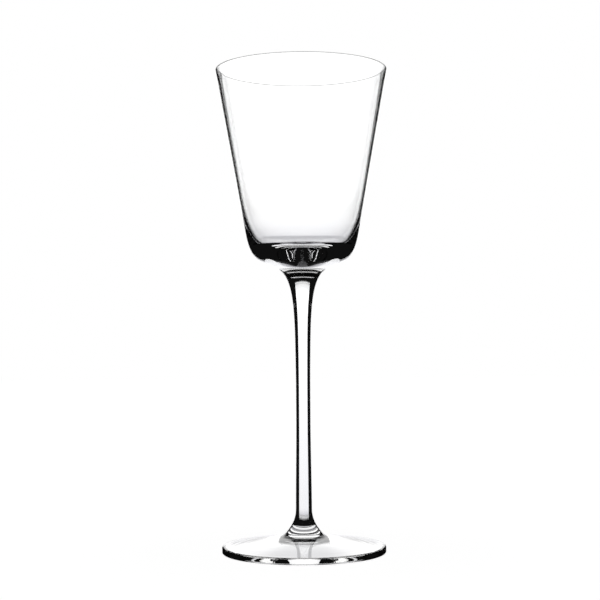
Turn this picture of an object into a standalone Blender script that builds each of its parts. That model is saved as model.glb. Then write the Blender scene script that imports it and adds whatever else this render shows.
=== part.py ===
"""A stemmed cocktail glass, hot-worked from three gathers of clear glass.

The bowl is blown, the stem is drawn and the foot is pressed, and the three are welded in line on
the Z axis. Each piece is a turned profile. The origin is at the middle of the foot's underside.
"""

import math

import bpy

# Driving dimensions, in metres
TOTAL_HEIGHT = 0.225
RIM_DIAMETER = 0.080
FOOT_DIAMETER = 0.076
STEM_DIAMETER = 0.00668
UPPER_WELD_HEIGHT = 0.1313
LOWER_WELD_HEIGHT = 0.00703
WELD_GAP = 0.0003

# Bowl, outside: a straight cone that turns in over a round corner
WALL_LEAN = math.radians(10.08)
LIP_THICKNESS = 0.0011
CONE_FOOT_HEIGHT = 0.1483
CORNER_PULL = 0.0129
UNDERSIDE_SLOPE = math.radians(23.0)
UNDERSIDE_PULL = 0.0103

# Bowl, inside: a dished floor over a thick base, and a wall that thickens towards it
FLOOR_HEIGHT = 0.13755
FLOOR_PULL = 0.0054
INNER_CORNER_RADIUS = 0.0214
INNER_CORNER_HEIGHT = 0.1431
INNER_CORNER_LEAN = math.radians(35.8)
INNER_CORNER_PULL = 0.0031
WALL_ROOT_PULL = 0.0070
THICK_WALL_TOP = 0.1721
THICK_WALL_PULL = 0.0110

# Crease of the weld under the bowl
UPPER_CREASE_RADIUS = 0.0104
UPPER_CREASE = 0.0008
UPPER_CREASE_RISE = 0.0002

# Stem: a slim rod with a trumpet under the bowl and a flare above the foot
TRUMPET_SLOPE = math.radians(42.7)
TRUMPET_PULL = 0.0070
TRUMPET_END_HEIGHT = 0.0961
TRUMPET_END_DIAMETER = 0.00713
TRUMPET_END_PULL = 0.0174
TRUMPET_END_LEAN = math.radians(1.03)
SLIM_HEIGHT = 0.0590
UPPER_ROD_PULL = 0.0160
LOWER_ROD_PULL = 0.0085
FLARE_START_HEIGHT = 0.02015
FLARE_START_DIAMETER = 0.00749
FLARE_START_PULL = 0.00464
FLARE_SLOPE = math.radians(50.45)
FLARE_PULL = 0.00437

# Crease of the weld above the foot
LOWER_CREASE_RADIUS = 0.01025
LOWER_CREASE = 0.0011

# Foot: an even plate pressed to a shallow cone, standing on a narrow ring near its edge
EDGE_THICKNESS = 0.00325
EDGE_ROUNDING = 0.00079
REST_RING_INNER_DIAMETER = 0.0710
HOLLOW_HEIGHT = 0.00475
HOLLOW_SLOPE = math.radians(10.1)
HOLLOW_EDGE_PULL = 0.0090
HOLLOW_PULL = 0.0140

# Shape of both creases, in shares of a crease's width
INNER_SHARE = 0.7
PULL_SHARE = 0.6
UPPER_RISE_SHARE = 0.4
LOWER_RISE_SHARE = 0.75

# Facets
TURN_STEPS = 64
MERGE_DISTANCE = 0.00001
FLOOR_STEPS = 12
CORNER_STEPS = 12
TRUMPET_STEPS = 12
FLARE_STEPS = 10
HOLLOW_STEPS = 10
ROD_STEPS = 4
WALL_STEPS = 6
ROUNDING_STEPS = 4
HALF_CREASE_STEPS = 3

STRAIGHT_UP = math.pi / 2
STRAIGHT_DOWN = -math.pi / 2
INWARD = math.pi

GLASS_COLOUR = (0.93, 0.96, 0.96, 1.0)
GLASS_ROUGHNESS = 0.02
GLASS_IOR = 1.52


def clear_scene():
    """Start from an empty scene."""
    for old in list(bpy.data.objects):
        bpy.data.objects.remove(old, do_unlink=True)


def pulled_curve(start, start_angle, start_pull, end, end_angle, end_pull, steps):
    """A cubic curve between two (radius, height) points, both included.

    An angle is the direction of travel, measured from +radius towards +height, and a pull is how
    far the curve's handle reaches along that direction.
    """
    handle_a = (start[0] + start_pull * math.cos(start_angle), start[1] + start_pull * math.sin(start_angle))
    handle_b = (end[0] - end_pull * math.cos(end_angle), end[1] - end_pull * math.sin(end_angle))
    corners = (start, handle_a, handle_b, end)
    points = [start]
    for step in range(1, steps + 1):
        t = step / steps
        weights = ((1 - t) ** 3, 3 * t * (1 - t) ** 2, 3 * t * t * (1 - t), t ** 3)
        points.append(tuple(sum(w * c[axis] for w, c in zip(weights, corners)) for axis in (0, 1)))
    return points


def arc(centre, radius, start_angle, end_angle, steps):
    """Points of a circular arc, both ends included."""
    points = []
    for step in range(steps + 1):
        angle = start_angle + (end_angle - start_angle) * step / steps
        points.append((centre[0] + radius * math.cos(angle), centre[1] + radius * math.sin(angle)))
    return points


def glass_material(name):
    """Clear colourless glass."""
    material = bpy.data.materials.new(name)
    material.use_nodes = True
    shader = material.node_tree.nodes["Principled BSDF"]
    shader.inputs["Base Color"].default_value = GLASS_COLOUR
    shader.inputs["Roughness"].default_value = GLASS_ROUGHNESS
    shader.inputs["Metallic"].default_value = 0.0
    shader.inputs["IOR"].default_value = GLASS_IOR
    shader.inputs["Transmission Weight"].default_value = 1.0
    return material


def turned_piece(name, runs, collection):
    """Join runs of (radius, height) points end to end and turn them about the Z axis into one solid."""
    profile = list(runs[0])
    for run in runs[1:]:
        profile += [point for point in run if math.dist(point, profile[-1]) > MERGE_DISTANCE]
    mesh = bpy.data.meshes.new(name)
    vertices = [(radius, 0.0, height) for radius, height in profile]
    edges = [(index, index + 1) for index in range(len(profile) - 1)]
    mesh.from_pydata(vertices, edges, [])
    mesh.materials.append(glass_material(name + "_glass"))
    piece = bpy.data.objects.new(name, mesh)
    collection.objects.link(piece)
    turn = piece.modifiers.new("turn", "SCREW")
    turn.axis = "Z"
    turn.angle = 2.0 * math.pi
    turn.steps = TURN_STEPS
    turn.render_steps = TURN_STEPS
    turn.use_merge_vertices = True
    turn.merge_threshold = MERGE_DISTANCE
    turn.use_smooth_shade = True
    return piece


def lip_halves():
    """The round lip: from the inner wall to the top, and from the top to the outer wall."""
    radius = LIP_THICKNESS / 2
    centre = (RIM_DIAMETER / 2 - radius, TOTAL_HEIGHT - radius)
    inner = arc(centre, radius, math.pi - WALL_LEAN, STRAIGHT_UP, ROUNDING_STEPS)
    outer = arc(centre, radius, STRAIGHT_UP, -WALL_LEAN, ROUNDING_STEPS)
    return inner, outer


def wall_radius(height):
    """Outer radius of the bowl's straight cone at a height, from where the lip runs into it."""
    top = lip_halves()[1][-1]
    return top[0] - (top[1] - height) * math.tan(WALL_LEAN)


def upper_crease(weld_height):
    """The soft crease where the bowl's underside runs into the trumpet."""
    rise = UPPER_CREASE_RISE + UPPER_RISE_SHARE * UPPER_CREASE
    reach = INNER_SHARE * UPPER_CREASE
    pull = PULL_SHARE * UPPER_CREASE
    start = (UPPER_CREASE_RADIUS + UPPER_CREASE, weld_height + rise)
    end = (UPPER_CREASE_RADIUS - reach, weld_height - reach)
    return pulled_curve(start, INWARD + UNDERSIDE_SLOPE, pull, end, INWARD + TRUMPET_SLOPE, pull,
                        2 * HALF_CREASE_STEPS)


def foot_slope(weld_height):
    """How steeply the foot's cone falls from the crease to the rounded edge."""
    run = FOOT_DIAMETER / 2 - EDGE_ROUNDING - LOWER_CREASE_RADIUS
    return math.atan((weld_height - EDGE_THICKNESS) / run)


def lower_crease(weld_height):
    """The soft crease where the flare of the stem runs out on the foot."""
    slope = foot_slope(weld_height)
    pull = PULL_SHARE * LOWER_CREASE
    start = (LOWER_CREASE_RADIUS - INNER_SHARE * LOWER_CREASE, weld_height + LOWER_RISE_SHARE * LOWER_CREASE)
    end = (LOWER_CREASE_RADIUS + LOWER_CREASE, weld_height - LOWER_CREASE * math.tan(slope))
    return pulled_curve(start, -FLARE_SLOPE, pull, end, -slope, pull, 2 * HALF_CREASE_STEPS)


def bowl_runs():
    """From the middle of the bowl's floor, up the inside, over the lip and down to the weld."""
    inner_lip, outer_lip = lip_halves()
    corner = (INNER_CORNER_RADIUS, INNER_CORNER_HEIGHT)
    corner_angle = STRAIGHT_UP - INNER_CORNER_LEAN
    thick_top = (wall_radius(THICK_WALL_TOP) - LIP_THICKNESS, THICK_WALL_TOP)
    cone_foot = (wall_radius(CONE_FOOT_HEIGHT), CONE_FOOT_HEIGHT)
    crease = upper_crease(UPPER_WELD_HEIGHT + WELD_GAP / 2)[:HALF_CREASE_STEPS + 1]
    return (
        pulled_curve((0.0, FLOOR_HEIGHT), 0.0, FLOOR_PULL, corner, corner_angle, INNER_CORNER_PULL,
                     FLOOR_STEPS),
        pulled_curve(corner, corner_angle, WALL_ROOT_PULL, thick_top, STRAIGHT_UP - WALL_LEAN,
                     THICK_WALL_PULL, WALL_STEPS),
        inner_lip,
        outer_lip,
        pulled_curve(cone_foot, STRAIGHT_DOWN - WALL_LEAN, CORNER_PULL, crease[0],
                     INWARD + UNDERSIDE_SLOPE, UNDERSIDE_PULL, CORNER_STEPS),
        crease,
        [(0.0, crease[-1][1])],
    )


def stem_runs():
    """From the middle of the upper weld out over the trumpet and down to the lower weld."""
    top_crease = upper_crease(UPPER_WELD_HEIGHT - WELD_GAP / 2)[HALF_CREASE_STEPS:]
    bottom_crease = lower_crease(LOWER_WELD_HEIGHT + WELD_GAP / 2)[:HALF_CREASE_STEPS + 1]
    trumpet_end = (TRUMPET_END_DIAMETER / 2, TRUMPET_END_HEIGHT)
    slim = (STEM_DIAMETER / 2, SLIM_HEIGHT)
    flare_start = (FLARE_START_DIAMETER / 2, FLARE_START_HEIGHT)
    return (
        [(0.0, top_crease[0][1])],
        top_crease,
        pulled_curve(top_crease[-1], INWARD + TRUMPET_SLOPE, TRUMPET_PULL, trumpet_end,
                     STRAIGHT_DOWN - TRUMPET_END_LEAN, TRUMPET_END_PULL, TRUMPET_STEPS),
        pulled_curve(trumpet_end, STRAIGHT_DOWN - TRUMPET_END_LEAN, UPPER_ROD_PULL, slim, STRAIGHT_DOWN,
                     UPPER_ROD_PULL, ROD_STEPS),
        pulled_curve(slim, STRAIGHT_DOWN, LOWER_ROD_PULL, flare_start, STRAIGHT_DOWN, LOWER_ROD_PULL,
                     ROD_STEPS),
        pulled_curve(flare_start, STRAIGHT_DOWN, FLARE_START_PULL, bottom_crease[0], -FLARE_SLOPE,
                     FLARE_PULL, FLARE_STEPS),
        bottom_crease,
        [(0.0, bottom_crease[-1][1])],
    )


def foot_runs():
    """From the middle of the weld out over the cone, round the edge and back underneath."""
    seat_height = LOWER_WELD_HEIGHT - WELD_GAP / 2
    crease = lower_crease(seat_height)[HALF_CREASE_STEPS:]
    rounding_radius = FOOT_DIAMETER / 2 - EDGE_ROUNDING
    upper_centre = (rounding_radius, EDGE_THICKNESS - EDGE_ROUNDING)
    lower_centre = (rounding_radius, EDGE_ROUNDING)
    ring_inside = (REST_RING_INNER_DIAMETER / 2, 0.0)
    return (
        [(0.0, crease[0][1])],
        crease,
        arc(upper_centre, EDGE_ROUNDING, STRAIGHT_UP - foot_slope(seat_height), 0.0, ROUNDING_STEPS),
        arc(lower_centre, EDGE_ROUNDING, 0.0, STRAIGHT_DOWN, ROUNDING_STEPS),
        pulled_curve(ring_inside, INWARD - HOLLOW_SLOPE, HOLLOW_EDGE_PULL, (0.0, HOLLOW_HEIGHT), INWARD,
                     HOLLOW_PULL, HOLLOW_STEPS),
    )


def main():
    clear_scene()
    glass = bpy.data.collections.new("cocktail_glass")
    bpy.context.scene.collection.children.link(glass)
    turned_piece("bowl", bowl_runs(), glass)
    turned_piece("stem", stem_runs(), glass)
    turned_piece("foot", foot_runs(), glass)
    for piece in glass.objects:
        print(piece.name, "is turned from", len(piece.data.vertices), "points")


main()
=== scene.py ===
# %% [markdown]
# # A stemmed cocktail glass
#
# A stemmed glass is made of three gathers from the same clear melt: a blown bowl, a drawn stem and a
# pressed foot, welded in line while hot. Here each of them is one turned surface. The lesson goes in the
# order of the work: the frame, the camera, the outlines, the turning, the finishes, the pieces and at
# last the studio.
#
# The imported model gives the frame. Every length below is in metres in that frame, so a new piece lies
# where the solid that it replaces lies, with nothing to fit.

# %% Load the frame
import math

import bpy
import numpy as np
from mathutils import Matrix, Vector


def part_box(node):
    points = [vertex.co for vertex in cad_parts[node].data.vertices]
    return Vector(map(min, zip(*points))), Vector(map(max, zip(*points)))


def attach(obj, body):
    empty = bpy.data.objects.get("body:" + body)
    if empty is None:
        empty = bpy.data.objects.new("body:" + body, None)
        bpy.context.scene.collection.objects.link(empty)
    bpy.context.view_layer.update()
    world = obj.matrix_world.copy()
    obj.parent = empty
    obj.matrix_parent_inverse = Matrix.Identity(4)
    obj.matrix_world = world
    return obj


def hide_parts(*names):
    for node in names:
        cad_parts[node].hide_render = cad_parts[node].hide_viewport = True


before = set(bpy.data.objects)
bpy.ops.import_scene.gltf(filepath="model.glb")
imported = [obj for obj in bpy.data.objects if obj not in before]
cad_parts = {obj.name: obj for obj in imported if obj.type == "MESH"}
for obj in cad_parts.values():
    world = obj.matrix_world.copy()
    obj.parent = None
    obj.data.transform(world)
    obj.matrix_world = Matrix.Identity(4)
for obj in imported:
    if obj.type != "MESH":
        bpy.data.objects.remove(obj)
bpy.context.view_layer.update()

MM = 0.001

print("nodes in the frame:", sorted(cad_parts))

# %% [markdown]
# ## The sizes that drive everything
#
# A turned glass needs few sizes: how tall and wide it is, and where the two welds are. They could be
# typed in again, but the frame already holds them, and a size that is read there can't drift from the
# solids. A thin gap parts the solids at each weld, and the weld lies near its middle: the way the light
# bends puts the upper one a hair lower, and the lower one a little higher.

# %% Read the driving sizes
UPPER_WELD_DROP = 0.5 * MM
LOWER_WELD_RISE = 0.82 * MM

bowl_low, bowl_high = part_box("bowl")
stem_low, stem_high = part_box("stem")
foot_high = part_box("foot")[1]

RIM_RADIUS = bowl_high[0]
RIM_HEIGHT = bowl_high[2]
FOOT_RADIUS = foot_high[0]
UPPER_WELD = (bowl_low[2] + stem_high[2]) / 2 - UPPER_WELD_DROP
LOWER_WELD = (stem_low[2] + foot_high[2]) / 2 + LOWER_WELD_RISE

print("rim radius %.1f mm, height %.1f mm" % (RIM_RADIUS / MM, RIM_HEIGHT / MM))
print("welds at %.2f and %.2f mm" % (UPPER_WELD / MM, LOWER_WELD / MM))

# %% [markdown]
# ## The camera
#
# The picture was taken from a little under mid-height with a longish lens: the rim is seen from just
# below and the foot from above. A perspective camera is placed at that distance and height. A shift
# could have done the framing, but turning the camera a little keeps every other view plain.

# %% Place the camera
CAMERA_DISTANCE = 0.629
CAMERA_HEIGHT = 0.0971
CAMERA_PITCH = math.radians(1.803)
CAMERA_YAW = math.radians(0.108)
CAMERA_ROLL = math.radians(-0.386)
SENSOR_WIDTH = 36.0
LENS = 81.0
NEAREST_SEEN = 0.01


def add_object(name, data):
    """A new object at the origin, linked into the scene."""
    thing = bpy.data.objects.new(name, data)
    bpy.context.scene.collection.objects.link(thing)
    return thing


camera = add_object("camera", bpy.data.cameras.new("camera"))
camera.data.sensor_width = SENSOR_WIDTH
camera.data.lens = LENS
camera.data.clip_start = NEAREST_SEEN
aim = Matrix.Rotation(CAMERA_YAW, 4, "Z")
aim = aim @ Matrix.Rotation(math.pi / 2 + CAMERA_PITCH, 4, "X")
aim = aim @ Matrix.Rotation(CAMERA_ROLL, 4, "Z")
camera.matrix_world = Matrix.Translation((0.0, -CAMERA_DISTANCE, CAMERA_HEIGHT)) @ aim
bpy.context.scene.camera = camera
print("camera %.3f m in front, lens %.0f mm" % (CAMERA_DISTANCE, LENS))

# %% [markdown]
# ## Lines that an outline is joined from
#
# Hot glass runs in easy curves, so an outline is a chain of straight runs, round arcs and cubic
# curves that leave and arrive in given directions. Points could be typed in one by one, but a formula
# keeps every joint smooth, and a smooth joint is what glass shows most. An outline lies in the plane of
# distance from the axis and height, and its angles are degrees counted from straight outwards.

# %% Straight runs, arcs and pulled curves
OUT, UP, IN, DOWN = 0, 90, 180, -90
SAME_POINT = 1e-7


def heading(degrees):
    """Direction of travel as (outward, upward): the cosine and the sine of its angle."""
    angle = math.radians(degrees)
    return np.array([math.cos(angle), math.sin(angle)])


def straight_run(start, end, steps):
    """Points at even shares of the way from start to end."""
    share = np.linspace(0.0, 1.0, steps + 1)[:, None]
    return (1 - share) * np.asarray(start) + share * np.asarray(end)


def round_arc(centre, radius, first, last, steps):
    """Points at one radius about a centre, at even angles from first to last degrees."""
    angle = np.radians(np.linspace(first, last, steps + 1))[:, None]
    return np.asarray(centre) + radius * np.hstack([np.cos(angle), np.sin(angle)])


def pulled_curve(start, leave, leave_pull, end, arrive, arrive_pull, steps):
    """Cubic curve: weights (1-t)^3, 3t(1-t)^2, 3t^2(1-t) and t^3 on start, two handles and end.

    A handle lies one pull away from its end point, along the direction of travel there.
    """
    start, end = np.asarray(start), np.asarray(end)
    first_handle = start + leave_pull * heading(leave)
    last_handle = end - arrive_pull * heading(arrive)
    t = np.linspace(0.0, 1.0, steps + 1)[:, None]
    curve = (1 - t) ** 3 * start + 3 * t * (1 - t) ** 2 * first_handle
    return curve + 3 * t * t * (1 - t) * last_handle + t ** 3 * end


def joined(*runs):
    """One outline from runs that follow each other, with each shared end point kept once."""
    chain = np.vstack(runs)
    step = np.hypot(*np.diff(chain, axis=0).T)
    return chain[np.r_[True, step > SAME_POINT]]


print("a quarter arc of radius 1:", np.round(round_arc((0, 0), 1, OUT, UP, 2), 3).tolist())

# %% [markdown]
# ## The weld under the bowl
#
# Two gathers that are pressed together hot leave no step, only a soft crease, 1 to 4 mm wide. Two
# separate outlines could each end in half of it, but then the halves have to be kept alike. Here the
# crease is one curve that both pieces share. The upper piece takes its first half and the lower piece
# the rest, so the two surfaces meet with the same direction and light runs through as in one glass.

# %% The crease under the bowl
CREASE_STEPS = 16
HALF_CREASE = CREASE_STEPS // 2
INNER_SHARE = 0.7
PULL_SHARE = 0.6
UPPER_RISE_SHARE = 0.4
UPPER_CREASE_RADIUS = 10.4 * MM
UPPER_CREASE = 0.8 * MM
UPPER_CREASE_RISE = 0.2 * MM
UNDERSIDE_SLOPE = 23.0
TRUMPET_SLOPE = 42.7

upper_crease = pulled_curve(
    (UPPER_CREASE_RADIUS + UPPER_CREASE, UPPER_CREASE_RISE + UPPER_RISE_SHARE * UPPER_CREASE),
    IN + UNDERSIDE_SLOPE, PULL_SHARE * UPPER_CREASE,
    (UPPER_CREASE_RADIUS - INNER_SHARE * UPPER_CREASE, -INNER_SHARE * UPPER_CREASE),
    IN + TRUMPET_SLOPE, PULL_SHARE * UPPER_CREASE, CREASE_STEPS)
upper_crease[:, 1] += UPPER_WELD - upper_crease[HALF_CREASE, 1]
print("the upper crease parts at radius %.2f mm" % (upper_crease[HALF_CREASE, 0] / MM))

# %% [markdown]
# ## The weld over the foot
#
# This crease is wider, and it runs out on the cone of the foot's top. The higher it starts, the steeper
# that cone falls to the edge, so crease and cone are worked out together. The middle of the first try
# misses the weld by a little, and the second try starts from a height that makes up for it.

# %% The crease over the foot
LOWER_RISE_SHARE = 0.75
LOWER_CREASE_RADIUS = 9.8 * MM
LOWER_CREASE = 2.0 * MM
FLARE_SIDE_SHARE = 0.4
FOOT_SIDE_SHARE = 0.8
FLARE_SLOPE = 50.45
EDGE_THICKNESS = 3.25 * MM
EDGE_ROUNDING = 0.79 * MM
edge_centre = np.array([FOOT_RADIUS - EDGE_ROUNDING, EDGE_THICKNESS - EDGE_ROUNDING])


def lower_crease_at(height):
    """The crease on a cone from (crease radius, height) to the foot's edge, and the cone's slope.

    The cone falls by height less the edge's thickness, shared over the way out to the edge's centre.
    """
    fall = (height - EDGE_THICKNESS) / (edge_centre[0] - LOWER_CREASE_RADIUS)
    slope = math.degrees(math.atan(fall))
    curve = pulled_curve(
        (LOWER_CREASE_RADIUS - INNER_SHARE * LOWER_CREASE, height + LOWER_RISE_SHARE * LOWER_CREASE),
        -FLARE_SLOPE, FLARE_SIDE_SHARE * LOWER_CREASE,
        (LOWER_CREASE_RADIUS + LOWER_CREASE, height - LOWER_CREASE * fall),
        -slope, FOOT_SIDE_SHARE * LOWER_CREASE, CREASE_STEPS)
    return curve, slope


trial_crease = lower_crease_at(LOWER_WELD)[0]
lower_crease, FOOT_SLOPE = lower_crease_at(2 * LOWER_WELD - trial_crease[HALF_CREASE, 1])
print("the lower crease parts at radius %.2f mm" % (lower_crease[HALF_CREASE, 0] / MM))
print("the foot falls away at %.1f degrees" % FOOT_SLOPE)

# %% [markdown]
# ## The bowl's outline
#
# Outside, the bowl is a straight cone that turns in over a round corner. Inside, it is a cone too, but
# the glass gathers at the bottom: the floor is dished like a lens, and the wall thickens over its lowest
# third. An even shell would be simpler, but that thick base is what draws the dark band and the bright
# ball in it, so its curve gets the most care. The outline runs from the middle of the floor up, over the
# lip and down to the weld.

# %% Draw the bowl's outline
WALL_LEAN = 10.08
LIP_RADIUS = 0.55 * MM
WALL_THICKNESS = 2 * LIP_RADIUS
CONE_FOOT_HEIGHT = 148.3 * MM
CORNER_PULL = 12.9 * MM
UNDERSIDE_PULL = 10.3 * MM
DISH_HEIGHT = 137.55 * MM
DISH_PULL = 5.4 * MM
INNER_CORNER = np.array([21.4, 143.1]) * MM
INNER_CORNER_LEAN = 35.8
INNER_CORNER_PULL = 3.1 * MM
WALL_ROOT_PULL = 7.0 * MM
THICK_WALL_TOP = 172.1 * MM
THICK_WALL_PULL = 11.0 * MM
DISH_STEPS = 60
THICK_WALL_STEPS = 40
WALL_STEPS = 14
LIP_STEPS = 24
CORNER_STEPS = 70

lip = round_arc((RIM_RADIUS - LIP_RADIUS, RIM_HEIGHT - LIP_RADIUS), LIP_RADIUS,
                IN - WALL_LEAN, OUT - WALL_LEAN, LIP_STEPS)


def wall_radius(height):
    """Outer radius of the straight cone: the lip's end less the drop times the lean's tangent."""
    return lip[-1, 0] - (lip[-1, 1] - height) * math.tan(math.radians(WALL_LEAN))


thick_top = np.array([wall_radius(THICK_WALL_TOP) - WALL_THICKNESS, THICK_WALL_TOP])
cone_foot = np.array([wall_radius(CONE_FOOT_HEIGHT), CONE_FOOT_HEIGHT])
bowl_outline = joined(
    pulled_curve((0.0, DISH_HEIGHT), OUT, DISH_PULL,
                 INNER_CORNER, UP - INNER_CORNER_LEAN, INNER_CORNER_PULL, DISH_STEPS),
    pulled_curve(INNER_CORNER, UP - INNER_CORNER_LEAN, WALL_ROOT_PULL,
                 thick_top, UP - WALL_LEAN, THICK_WALL_PULL, THICK_WALL_STEPS),
    straight_run(thick_top, lip[0], WALL_STEPS),
    lip,
    straight_run(lip[-1], cone_foot, WALL_STEPS),
    pulled_curve(cone_foot, DOWN - WALL_LEAN, CORNER_PULL,
                 upper_crease[0], IN + UNDERSIDE_SLOPE, UNDERSIDE_PULL, CORNER_STEPS),
    upper_crease[:HALF_CREASE + 1],
    [(0.0, upper_crease[HALF_CREASE, 1])],
)
print("bowl outline:", len(bowl_outline), "points")

# %% [markdown]
# ## The stem's outline
#
# The stem was drawn down from the bowl, so it starts as a trumpet, thins to a rod and flares again
# where it was pressed on the foot. A plain cylinder would miss the slow swell, which the bright core
# of the stem follows exactly.

# %% Draw the stem's outline
TRUMPET_PULL = 7.0 * MM
TRUMPET_END = np.array([3.565, 96.1]) * MM
TRUMPET_END_LEAN = 1.03
TRUMPET_END_PULL = 17.4 * MM
UPPER_ROD_PULL = 16.0 * MM
SLIM_POINT = np.array([3.34, 59.0]) * MM
LOWER_ROD_PULL = 8.5 * MM
FLARE_START = np.array([3.745, 20.15]) * MM
FLARE_START_PULL = 4.64 * MM
FLARE_PULL = 4.37 * MM
TRUMPET_STEPS = 60
ROD_STEPS = 20
FLARE_STEPS = 50

stem_outline = joined(
    [(0.0, upper_crease[HALF_CREASE, 1])],
    upper_crease[HALF_CREASE:],
    pulled_curve(upper_crease[-1], IN + TRUMPET_SLOPE, TRUMPET_PULL,
                 TRUMPET_END, DOWN - TRUMPET_END_LEAN, TRUMPET_END_PULL, TRUMPET_STEPS),
    pulled_curve(TRUMPET_END, DOWN - TRUMPET_END_LEAN, UPPER_ROD_PULL,
                 SLIM_POINT, DOWN, UPPER_ROD_PULL, ROD_STEPS),
    pulled_curve(SLIM_POINT, DOWN, LOWER_ROD_PULL,
                 FLARE_START, DOWN, LOWER_ROD_PULL, ROD_STEPS),
    pulled_curve(FLARE_START, DOWN, FLARE_START_PULL,
                 lower_crease[0], -FLARE_SLOPE, FLARE_PULL, FLARE_STEPS),
    lower_crease[:HALF_CREASE + 1],
    [(0.0, lower_crease[HALF_CREASE, 1])],
)
print("stem outline:", len(stem_outline), "points")

# %% [markdown]
# ## The foot's outline
#
# The foot is an even plate, a little over 3 mm thick, pressed to a shallow cone. Its underside follows
# the top, so only a narrow ring near the edge touches the table. A flat underside would be simpler,
# but it would act as a lens, and the real foot is clear to look through.

# %% Draw the foot's outline
REST_RING_INNER = 35.5 * MM
HOLLOW_SLOPE = 9.6
HOLLOW_EDGE_PULL = 9.0 * MM
HOLLOW_HEIGHT = 4.6 * MM
HOLLOW_PULL = 14.0 * MM
TOP_STEPS = 30
EDGE_STEPS = 20
RING_STEPS = 4
HOLLOW_STEPS = 60

foot_edge = joined(
    round_arc(edge_centre, EDGE_ROUNDING, UP - FOOT_SLOPE, OUT, EDGE_STEPS),
    round_arc((edge_centre[0], EDGE_ROUNDING), EDGE_ROUNDING, OUT, DOWN, EDGE_STEPS),
)
foot_outline = joined(
    [(0.0, lower_crease[HALF_CREASE, 1])],
    lower_crease[HALF_CREASE:],
    straight_run(lower_crease[-1], foot_edge[0], TOP_STEPS),
    foot_edge,
    straight_run(foot_edge[-1], (REST_RING_INNER, 0.0), RING_STEPS),
    pulled_curve((REST_RING_INNER, 0.0), IN - HOLLOW_SLOPE, HOLLOW_EDGE_PULL,
                 (0.0, HOLLOW_HEIGHT), IN, HOLLOW_PULL, HOLLOW_STEPS),
)
print("foot outline:", len(foot_outline), "points")

# %% [markdown]
# ## Turning an outline into a surface
#
# A turned piece is a grid of two parameters: the place along the outline and the angle about the axis.
# A Screw modifier could do it, but whole arrays are as short, and they let the flat faces in a weld
# get a finish of their own. Both ends of an outline lie on the axis and close as a fan to one point.

# %% The grid of a turned piece
AROUND = 256


def turned_grid(outline):
    """Points x = r cos a, y = r sin a, z = h over outline points (r, h) and even angles a.

    The first and last outline points are poles. Returns the points, the quads between the rings, and
    the fan of triangles at each pole.
    """
    angle = np.arange(AROUND) * (2 * math.pi / AROUND)
    radius, height = outline[1:-1, :1], outline[1:-1, 1:]
    grid = np.stack([radius * np.cos(angle), radius * np.sin(angle), height + 0 * angle], axis=-1)
    poles = [[0.0, 0.0, outline[0, 1]], [0.0, 0.0, outline[-1, 1]]]
    points = np.vstack([grid.reshape(-1, 3), poles])

    index = np.arange(len(radius) * AROUND).reshape(len(radius), AROUND)
    onward = np.roll(index, -1, axis=1)
    quads = np.stack([index[:-1], index[1:], onward[1:], onward[:-1]], axis=-1).reshape(-1, 4)
    first_pole = np.full(AROUND, len(points) - 2)
    last_pole = np.full(AROUND, len(points) - 1)
    first_fan = np.stack([first_pole, index[0], onward[0]], axis=-1)
    last_fan = np.stack([last_pole, onward[-1], index[-1]], axis=-1)
    return points, quads, first_fan, last_fan


print("turned in", AROUND, "steps, the foot has", len(turned_grid(foot_outline)[0]), "points")

# %% [markdown]
# ## What hot working leaves in the glass
#
# Even clear glass isn't one flat colour. Blowing leaves long soft waves, drawing leaves fine lines along
# the stem, and pressing and spinning leave rings in the foot. Each could have a texture of its own, but
# all three are one noise, stretched in different directions. So it is built once as a node group, with a
# scale for each direction, and placed in each finish with its own scales.

# %% Open a node group for the marks
MARKS = bpy.data.node_groups.new("hot_work_marks", "ShaderNodeTree")
for scale in ("Around", "Across", "Along"):
    MARKS.interface.new_socket(scale, in_out="INPUT", socket_type="NodeSocketFloat")
for result in ("Height", "Crest"):
    MARKS.interface.new_socket(result, in_out="OUTPUT", socket_type="NodeSocketFloat")
mark_nodes, mark_link = MARKS.nodes, MARKS.links.new
mark_scales = mark_nodes.new("NodeGroupInput")
mark_results = mark_nodes.new("NodeGroupOutput")
print("marks group:", [socket.name for socket in MARKS.interface.items_tree])

# %% [markdown]
# ### Stretching the place
#
# The noise is read at (x Around, y Around, z Along + r Across), where r is the distance from the axis. A
# large scale packs the marks closely in that direction, and 0 lets them run on. The place comes from
# Object coordinates, so the marks stay in the glass whichever way it is seen.

# %% Stretch the place
def own_place(nodes, link):
    """The place on the piece in Object coordinates, taken apart into outputs X, Y and Z."""
    place = nodes.new("ShaderNodeTexCoord")
    parts = nodes.new("ShaderNodeSeparateXYZ")
    link(place.outputs["Object"], parts.inputs[0])
    return parts.outputs


mark_place = own_place(mark_nodes, mark_link)
flat = mark_nodes.new("ShaderNodeCombineXYZ")
mark_link(mark_place["X"], flat.inputs["X"])
mark_link(mark_place["Y"], flat.inputs["Y"])
reach = mark_nodes.new("ShaderNodeVectorMath")
reach.operation = "LENGTH"
mark_link(flat.outputs[0], reach.inputs[0])
sideways = mark_nodes.new("ShaderNodeVectorMath")
sideways.operation = "SCALE"
mark_link(flat.outputs[0], sideways.inputs[0])
mark_link(mark_scales.outputs["Around"], sideways.inputs["Scale"])

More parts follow.
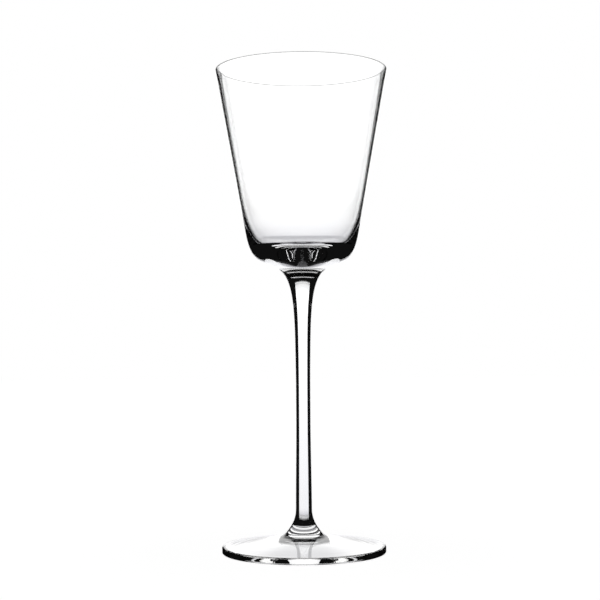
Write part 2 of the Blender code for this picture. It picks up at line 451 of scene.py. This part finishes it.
rings = mark_nodes.new("ShaderNodeMath")
rings.operation = "MULTIPLY"
mark_link(reach.outputs["Value"], rings.inputs[0])
mark_link(mark_scales.outputs["Across"], rings.inputs[1])
rise = mark_nodes.new("ShaderNodeMath")
rise.operation = "MULTIPLY_ADD"
mark_link(mark_place["Z"], rise.inputs[0])
mark_link(mark_scales.outputs["Along"], rise.inputs[1])
mark_link(rings.outputs[0], rise.inputs[2])
upright = mark_nodes.new("ShaderNodeCombineXYZ")
mark_link(rise.outputs[0], upright.inputs["Z"])
stretched = mark_nodes.new("ShaderNodeVectorMath")
stretched.operation = "ADD"
mark_link(sideways.outputs[0], stretched.inputs[0])
mark_link(upright.outputs[0], stretched.inputs[1])
print("marks group:", len(mark_nodes), "nodes so far")

# %% [markdown]
# ### Reading the noise
#
# The noise itself is the height of the waves, which goes to a Bump node. A tint needs something plainer,
# so the upper part of the noise is also spread out to a mask of the crests, from 0 to 1.

# %% Read the noise
MARK_DETAIL = 2.0
CREST_FROM = 0.45
CREST_TO = 0.72

noise = mark_nodes.new("ShaderNodeTexNoise")
noise.inputs["Scale"].default_value = 1.0
noise.inputs["Detail"].default_value = MARK_DETAIL
mark_link(stretched.outputs[0], noise.inputs["Vector"])
crest = mark_nodes.new("ShaderNodeMapRange")
crest.inputs["From Min"].default_value = CREST_FROM
crest.inputs["From Max"].default_value = CREST_TO
mark_link(noise.outputs[0], crest.inputs["Value"])
mark_link(noise.outputs[0], mark_results.inputs["Height"])
mark_link(crest.outputs[0], mark_results.inputs["Crest"])
print("marks group:", len(mark_nodes), "nodes in all")

# %% [markdown]
# ## The weld finish
#
# Inside a weld there is no surface at all. The faces there could be left out, but then each piece would
# be an open shell and no longer a whole thing of its own. So they stay, and are fully see-through.

# %% Make the weld finish
def new_material(name):
    """A material with nodes. Returns it, its nodes and the call that links two sockets."""
    material = bpy.data.materials.new(name)
    material.use_nodes = True
    return material, material.node_tree.nodes, material.node_tree.links.new


inside_weld, weld_nodes = new_material("weld_face")[:2]
weld_nodes["Principled BSDF"].inputs["Alpha"].default_value = 0.0
print("finish:", inside_weld.name)

# %% [markdown]
# ## The glass
#
# The glass is a Principled shader that lets all light through, with the refractive index of ordinary
# stemware. The marks bend its normal a little and dull it by a few parts in a hundred. The lip is
# painted a shade darker, as painted shade that draws it as a fine dark line. A tinted surface could
# fake the other dark rims, but real glass is dark there only because it shows something dark behind
# it, so that is left to the studio.

# %% How a glass finish is made
GLASS_IOR = 1.52
LIP_FADE = 1.0 * MM
# Painted shade: this darker tint at the lip draws the rim's fine dark line.
LIP_PAINTED_SHADE = (0.8, 0.8, 0.79)
# A Mix node has sockets of the same names for each kind of value. These are the colour ones.
MIX_A, MIX_B, MIX_RESULT = 6, 7, 2


def colour_mix(nodes, link, share, second):
    """A mix that goes from its A colour to the second colour as share goes from 0 to 1."""
    mix = nodes.new("ShaderNodeMix")
    mix.data_type = "RGBA"
    mix.inputs[MIX_B].default_value = (*second, 1.0)
    link(share, mix.inputs["Factor"])
    return mix


def glass_finish(name, around, across, along, wave, clear, dulled):
    """Clear glass: marks of the given scales, a wave depth in metres, a plain tint and a tint at the
    marks' crests, and a lip darkened as painted shade.
    """
    material, nodes, link = new_material(name)
    shader = nodes["Principled BSDF"]
    shader.inputs["Transmission Weight"].default_value = 1.0
    shader.inputs["Metallic"].default_value = 0.0
    shader.inputs["Roughness"].default_value = 0.0
    shader.inputs["IOR"].default_value = GLASS_IOR

    marks = nodes.new("ShaderNodeGroup")
    marks.node_tree = MARKS
    marks.inputs["Around"].default_value = around
    marks.inputs["Across"].default_value = across
    marks.inputs["Along"].default_value = along
    tint = colour_mix(nodes, link, marks.outputs["Crest"], dulled)
    tint.inputs[MIX_A].default_value = (*clear, 1.0)

    near_lip = nodes.new("ShaderNodeMapRange")
    near_lip.inputs["From Min"].default_value = RIM_HEIGHT - LIP_FADE
    near_lip.inputs["From Max"].default_value = RIM_HEIGHT - LIP_FADE / 2
    link(own_place(nodes, link)["Z"], near_lip.inputs["Value"])
    # Painted shade near the rim: the glass is darkened there to draw the lip as a dark line.
    lip_painted_shade = colour_mix(nodes, link, near_lip.outputs[0], LIP_PAINTED_SHADE)
    link(tint.outputs[MIX_RESULT], lip_painted_shade.inputs[MIX_A])
    link(lip_painted_shade.outputs[MIX_RESULT], shader.inputs["Base Color"])

    bump = nodes.new("ShaderNodeBump")
    bump.inputs["Strength"].default_value = 1.0
    bump.inputs["Distance"].default_value = wave
    link(marks.outputs["Height"], bump.inputs["Height"])
    link(bump.outputs["Normal"], shader.inputs["Normal"])
    return material


print("glass of refractive index", GLASS_IOR)

# %% [markdown]
# ## Three ways of working the glass
#
# All three pieces could share one finish, but the bowl was blown, the stem drawn and the foot pressed,
# and each way leaves its own marks: wide soft waves, fine upright lines and deeper rings. The foot's
# glass is also painted a shade greyer than the rest, as painted shade.

# %% Make the glass finishes
CLEAR = (1.0, 1.0, 1.0)

blown = glass_finish("blown_glass", around=60.0, across=0.0, along=30.0, wave=1e-6,
                     clear=CLEAR, dulled=(0.99, 0.995, 1.0))
drawn = glass_finish("drawn_glass", around=700.0, across=0.0, along=20.0, wave=1e-6,
                     clear=CLEAR, dulled=(0.97, 0.985, 1.0))
# The foot's two tones are painted shade: they grey its glass all over, darker than the bowl and stem.
pressed = glass_finish("pressed_glass_painted_grey", around=50.0, across=300.0, along=0.0, wave=3e-6,
                       clear=(0.88, 0.88, 0.87), dulled=(0.8, 0.8, 0.79))
print("finishes:", [finish.name for finish in (blown, drawn, pressed)])

# %% [markdown]
# ## The three pieces
#
# A mesh could be given its faces as lists, but arrays that are handed over whole are much faster. Each
# piece stands for one solid of the frame, which is hidden, and rides on the only body. It has two
# finishes: its glass, and the weld finish on the flat fans that lie in a weld.

# %% Turn the pieces
PIECES = (
    ("blown_bowl", "bowl", "bowl_glass", bowl_outline, blown, False, True),
    ("drawn_stem", "stem", "stem_glass", stem_outline, drawn, True, True),
    ("pressed_foot", "foot", "foot_glass", foot_outline, pressed, True, False),
)


def turned_surface(name, outline, glass, weld, weld_first, weld_last):
    """The turned grid of an outline as an object.

    weld_first and weld_last say whether the fan of triangles at that pole is a weld face, which is
    flat and takes the weld finish. Every other face is smooth and takes the glass.
    """
    points, quads, first_fan, last_fan = turned_grid(outline)
    corners = np.concatenate([quads.ravel(), first_fan.ravel(), last_fan.ravel()])
    sides = np.r_[np.full(len(quads), 4), np.full(2 * AROUND, 3)]
    in_weld = np.r_[np.zeros(len(quads)), np.full(AROUND, weld_first), np.full(AROUND, weld_last)]

    mesh = bpy.data.meshes.new(name)
    mesh.vertices.add(len(points))
    mesh.vertices.foreach_set("co", points.ravel())
    mesh.loops.add(len(corners))
    mesh.loops.foreach_set("vertex_index", corners.astype(np.int32))
    mesh.polygons.add(len(sides))
    mesh.polygons.foreach_set("loop_start", (np.cumsum(sides) - sides).astype(np.int32))
    mesh.materials.append(glass)
    mesh.materials.append(weld)
    mesh.polygons.foreach_set("material_index", in_weld.astype(np.int32))
    mesh.polygons.foreach_set("use_smooth", in_weld == 0)
    mesh.update(calc_edges=True)
    mesh.validate()
    return add_object(name, mesh)


for name, node, slot, outline, finish, weld_first, weld_last in PIECES:
    piece = turned_surface(name, outline, finish, inside_weld, weld_first, weld_last)
    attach(piece, "root")
    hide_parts(node)
    print(name, [round(side / MM, 2) for side in piece.dimensions], "mm")

# %% [markdown]
# ## The studio: a bright field
#
# Clear glass is pictured against a bright field: a white backdrop stands behind it, and black flags
# just out of view frame the field. Through the middle of the glass the eye sees the white field; near
# an edge the glass bends the view past it to the dark, which draws the outline. An even backdrop would
# do, but this one is brightest behind the bowl, so that the thin wall stays clear to its edge, and fades
# to a cool grey towards its foot, as a lit sweep does.

# %% Light the backdrop
BACKDROP_STRENGTH = 1.6
BACKDROP_BANDS = (
    (-0.95, (0.0, 0.0, 0.0)),
    (-0.30, (0.48, 0.48, 0.50)),
    (0.04, (0.73, 0.73, 0.74)),
    (0.20, (0.79, 0.79, 0.79)),
    (0.27, (0.92, 0.92, 0.92)),
    (0.33, (1.0, 1.0, 1.0)),
    (0.43, (1.0, 1.0, 1.0)),
    (0.50, (0.66, 0.66, 0.66)),
    (0.62, (0.62, 0.62, 0.62)),
    (1.15, (0.0, 0.0, 0.0)),
)
BACKDROP_LOW = BACKDROP_BANDS[0][0]
BACKDROP_HIGH = BACKDROP_BANDS[-1][0]


def glow(name, strength):
    """An even emission. Returns the material, its nodes, its links and the Emission node."""
    material, nodes, link = new_material(name)
    nodes.clear()
    emission = nodes.new("ShaderNodeEmission")
    emission.inputs["Strength"].default_value = strength
    output = nodes.new("ShaderNodeOutputMaterial")
    link(emission.outputs[0], output.inputs["Surface"])
    return material, nodes, link, emission


field, field_nodes, field_link, field_light = glow("bright_field", BACKDROP_STRENGTH)
field_share = field_nodes.new("ShaderNodeMapRange")
field_share.inputs["From Min"].default_value = BACKDROP_LOW
field_share.inputs["From Max"].default_value = BACKDROP_HIGH
field_link(own_place(field_nodes, field_link)["Z"], field_share.inputs["Value"])
field_ramp = field_nodes.new("ShaderNodeValToRGB")
field_link(field_share.outputs[0], field_ramp.inputs[0])
field_link(field_ramp.outputs["Color"], field_light.inputs["Color"])

stops = field_ramp.color_ramp.elements
stops[0].color = (*BACKDROP_BANDS[0][1], 1.0)
stops[1].color = (*BACKDROP_BANDS[-1][1], 1.0)
for height, colour in BACKDROP_BANDS[1:-1]:
    stops.new((height - BACKDROP_LOW) / (BACKDROP_HIGH - BACKDROP_LOW)).color = (*colour, 1.0)
print("the backdrop has", len(stops), "bands from %.2f to %.2f m" % (BACKDROP_LOW, BACKDROP_HIGH))

# %% [markdown]
# ## Cards that go with the camera
#
# The backdrop and the flags belong behind the glass whichever way it is seen. They could stand all round
# it, but a ring would light the glass from every side. So they are three cards that the camera carries.
# Only the glass sees them, and they give the floor no light.

# %% Stand the cards behind the glass
BACKDROP_BEHIND = 1.0
BACKDROP_HALF_WIDTH = 0.6
FLAG_BEHIND = 0.137
FLAG_GAP = 0.065
FLAG_OUTER = 1.5
FLAG_LOW = -1.0
FLAG_HIGH = 1.5
DARK_GLOW = 0.005


def flat_sheet(name, corners, material):
    """One face through four corners."""
    mesh = bpy.data.meshes.new(name)
    mesh.from_pydata(corners, [], [(0, 1, 2, 3)])
    mesh.materials.append(material)
    return add_object(name, mesh)


def upright_card(name, left, right, low, high, behind, material):
    """A flat card facing the camera at y = behind, carried by the camera and unseen by it."""
    places = ((left, low), (right, low), (right, high), (left, high))
    card = flat_sheet(name, [(x, behind, z) for x, z in places], material)
    card.parent = camera
    card.matrix_parent_inverse = camera.matrix_world.inverted()
    card.visible_camera = False
    card.visible_diffuse = False
    card.visible_shadow = False


upright_card("backdrop", -BACKDROP_HALF_WIDTH, BACKDROP_HALF_WIDTH, BACKDROP_LOW, BACKDROP_HIGH,
             BACKDROP_BEHIND, field)
black = glow("black_flag", DARK_GLOW)[0]
upright_card("flag_left", -FLAG_OUTER, -FLAG_GAP, FLAG_LOW, FLAG_HIGH, FLAG_BEHIND, black)
upright_card("flag_right", FLAG_GAP, FLAG_OUTER, FLAG_LOW, FLAG_HIGH, FLAG_BEHIND, black)
print("backdrop %.2f m wide, flags %.0f mm apart" % (2 * BACKDROP_HALF_WIDTH, 2 * FLAG_GAP / MM))

# %% [markdown]
# ## The floor
#
# The floor is a plain pale sheet. Lit by lamps alone it would need so much light that the glass would
# glare, so most of its white is a glow that only the camera sees, as of a sheet lit from below. It lies
# a hair under the foot, and isn't seen through the glass, which shows the backdrop there.

# %% Lay the floor
FLOOR_SIZE = 6.0
FLOOR_DROP = 2e-5
FLOOR_GLOW = 0.9
SHEET_COLOUR = (0.8, 0.8, 0.8, 1.0)
WHITE = (1.0, 1.0, 1.0, 1.0)


def camera_only(nodes, link, operation, level):
    """Is Camera Ray, which is 1 or 0, worked together with a level by a Math node."""
    path = nodes.new("ShaderNodeLightPath")
    worked = nodes.new("ShaderNodeMath")
    worked.operation = operation
    worked.inputs[1].default_value = level
    link(path.outputs["Is Camera Ray"], worked.inputs[0])
    return worked.outputs[0]


sheet, sheet_nodes, sheet_link = new_material("pale_sheet")
sheet_shader = sheet_nodes["Principled BSDF"]
sheet_shader.inputs["Base Color"].default_value = SHEET_COLOUR
sheet_shader.inputs["Roughness"].default_value = 1.0
sheet_shader.inputs["Specular IOR Level"].default_value = 0.0
sheet_shader.inputs["Emission Color"].default_value = WHITE
sheet_glow = camera_only(sheet_nodes, sheet_link, "MULTIPLY", FLOOR_GLOW)
sheet_link(sheet_glow, sheet_shader.inputs["Emission Strength"])

half = FLOOR_SIZE / 2
floor_places = ((-half, -half), (half, -half), (half, half), (-half, half))
floor = flat_sheet("floor", [(x, y, -FLOOR_DROP) for x, y in floor_places], sheet)
floor.visible_transmission = False
floor.visible_glossy = False
print("floor %.0f m wide" % FLOOR_SIZE)

# %% [markdown]
# ## The light and the room
#
# Soft daylight from above gives the rest of the floor's white, which the glass shades a little. A lamp
# could do it too, but it would show as a spot in the glass, so this light is kept out of what the glass
# shows. The room is white to the camera and all but dark to the glass, as a studio is beside its lit
# backdrop.

# %% Light the room
DAYLIGHT = 0.42
DAYLIGHT_SPREAD = math.radians(60.0)

daylight = add_object("daylight", bpy.data.lights.new("daylight", "SUN"))
daylight.data.energy = DAYLIGHT
daylight.data.angle = DAYLIGHT_SPREAD
daylight.visible_transmission = False
daylight.visible_glossy = False

world = bpy.data.worlds.new("white_room")
world.use_nodes = True
world_nodes, world_link = world.node_tree.nodes, world.node_tree.links.new
room = world_nodes["Background"]
room.inputs["Color"].default_value = WHITE
world_link(camera_only(world_nodes, world_link, "MAXIMUM", DARK_GLOW), room.inputs["Strength"])
bpy.context.scene.world = world
bpy.context.scene.view_settings.view_transform = "Standard"
print("daylight %.2f" % DAYLIGHT)

# %% [markdown]
# ## How far light is followed
#
# A ray that enters the thick base is thrown about many times before it leaves. Blender stops at
# twelve turns, which would leave black specks there, so the limits go up.

# %% Follow the light further
BOUNCES = 32
GLOSSY_BOUNCES = 16

cycles = bpy.context.scene.cycles
cycles.max_bounces = BOUNCES
cycles.transmission_bounces = BOUNCES
cycles.glossy_bounces = GLOSSY_BOUNCES
cycles.transparent_max_bounces = BOUNCES
print("light is followed for", BOUNCES, "turns")
